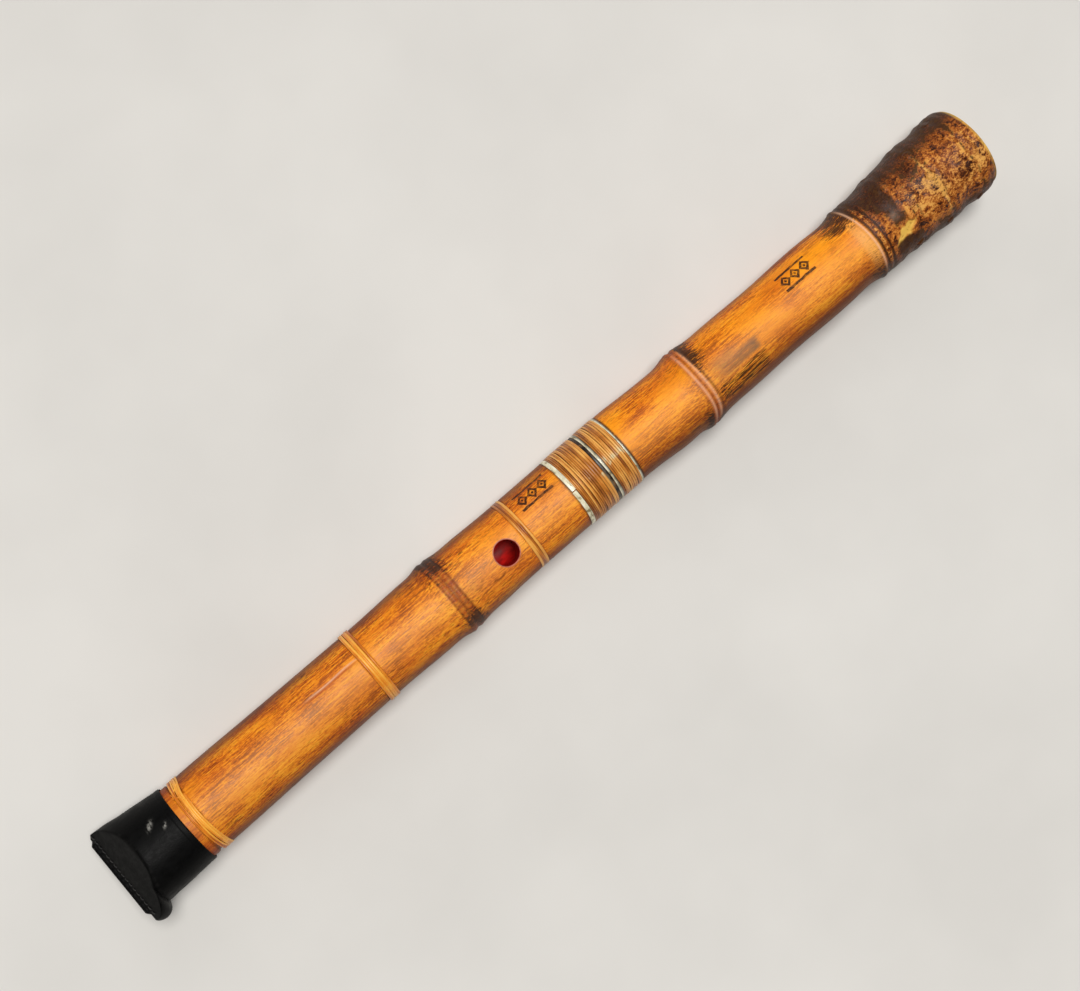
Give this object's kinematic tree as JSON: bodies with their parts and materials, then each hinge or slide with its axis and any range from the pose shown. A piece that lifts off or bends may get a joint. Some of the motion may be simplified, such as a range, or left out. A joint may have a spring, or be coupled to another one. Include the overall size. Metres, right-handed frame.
{
  "type": "bamboo flute",
  "caption": "End-blown root-end bamboo flute in two sections that part at a bound middle joint, with rattan bindings and a pinched leather cap over its mouth end.",
  "frame": {"origin": "centre of the bore's opening at the root end, which is also the root end's face", "axes": "+X along the flute from the root end to the mouth and the cap, +Z towards the thumb hole, so the front finger holes open to -Z"},
  "size_m": [0.5018, 0.0484, 0.0448],
  "materials": {
    "bamboo": "amber lacquered bamboo with long fibre streaks, satin gloss",
    "root_bamboo": "lacquered bamboo root end, rougher and darker, with pale scars",
    "horn": "polished dark horn",
    "bore_lacquer": "glossy red lacquer",
    "rattan": "golden split rattan, satin",
    "dark_rattan": "brown lacquered rattan, worn flush",
    "cane_winding": "fine golden cane strands with dark gaps and worn spots",
    "pale_ring": "ivory-white, satin",
    "thin_ring": "dark polished ring",
    "tenon_wood": "lacquered hardwood",
    "cap_leather": "black leather, fine grain, faint sheen",
    "cap_felt": "dark felt",
    "cap_thread": "waxed black thread"
  },
  "bodies": {
    "upper_section": {"upper_tube": "bamboo", "mouth_edge_inlay": "horn", "upper_bore_lining": "bore_lacquer", "mouth_binding": "rattan", "upper_binding": "rattan", "thumb_binding": "dark_rattan", "upper_joint_ring": "pale_ring", "upper_joint_winding": "cane_winding", "upper_edge_ring": "thin_ring", "joint_tenon": "tenon_wood"},
    "lower_section": {"lower_tube": "root_bamboo", "lower_bore_lining": "bore_lacquer", "joint_socket": "tenon_wood", "lower_edge_ring": "pale_ring", "lower_joint_winding": "cane_winding", "lower_joint_ring": "pale_ring"},
    "cap": {"cap_sleeve": "cap_leather", "cap_lining": "cap_felt", "cap_end_welt": "cap_leather", "cap_stitching": "cap_thread"}
  },
  "joints": [
    {"name": "middle_joint_slide", "type": "slide", "parent": "upper_section", "child": "lower_section", "axis": [-1, 0, 0], "range_m": [0, 0.04]},
    {"name": "cap_slide", "type": "slide", "parent": "upper_section", "child": "cap", "axis": [1, 0, 0], "range_m": [0, 0.05]}
  ]
}
